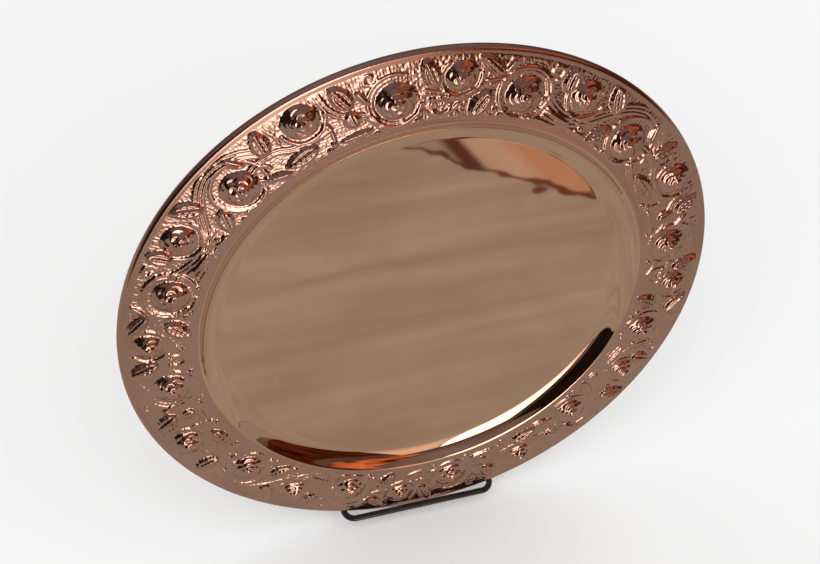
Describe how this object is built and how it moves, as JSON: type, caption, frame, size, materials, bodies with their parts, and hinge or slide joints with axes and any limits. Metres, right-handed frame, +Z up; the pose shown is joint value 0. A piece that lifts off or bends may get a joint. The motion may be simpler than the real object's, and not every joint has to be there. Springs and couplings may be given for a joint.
{
  "type": "embossed copper tray on wire easel",
  "caption": "Round polished copper serving tray with a flower-embossed rim and rolled edge, leaning in a folding black wire easel with a front lip and a hinged rear leg.",
  "frame": {"origin": "on the table, in the middle of the footprint, halfway between the lip's bar and the rear feet", "axes": "+Z up; the tray faces -Y and leans back; +X is to the right of someone who faces the tray"},
  "size_m": [0.3, 0.133, 0.2938],
  "materials": {
    "copper": "mirror polished copper, embossed rim",
    "edge_wire": "plain drawn wire",
    "easel_paint": "gloss black",
    "foot_vinyl": "dipped black vinyl"
  },
  "bodies": {
    "easel": {"easel_front_frame": "easel_paint", "easel_lip_wire": "easel_paint", "easel_lower_cross_bar": "easel_paint", "easel_hinge_bar": "easel_paint", "front_foot_cap_left": "foot_vinyl", "front_foot_cap_right": "foot_vinyl"},
    "rear_leg": {"easel_rear_leg": "easel_paint", "hinge_sleeve_left": "easel_paint", "hinge_sleeve_right": "easel_paint", "rear_foot_cap_left": "foot_vinyl", "rear_foot_cap_right": "foot_vinyl"},
    "tray": {"tray_sheet": "copper", "rim_edge_wire": "edge_wire"}
  },
  "joints": [
    {"name": "rear_leg_fold", "type": "hinge", "parent": "easel", "child": "rear_leg", "pos_m": [0, -0.01475, 0.12427], "axis": [1, 0, 0], "range_deg": [-41, 0]},
    {"name": "tray_lift", "type": "slide", "parent": "easel", "child": "tray", "axis": [0, 0, 1], "range_m": [0, 0.2]}
  ]
}
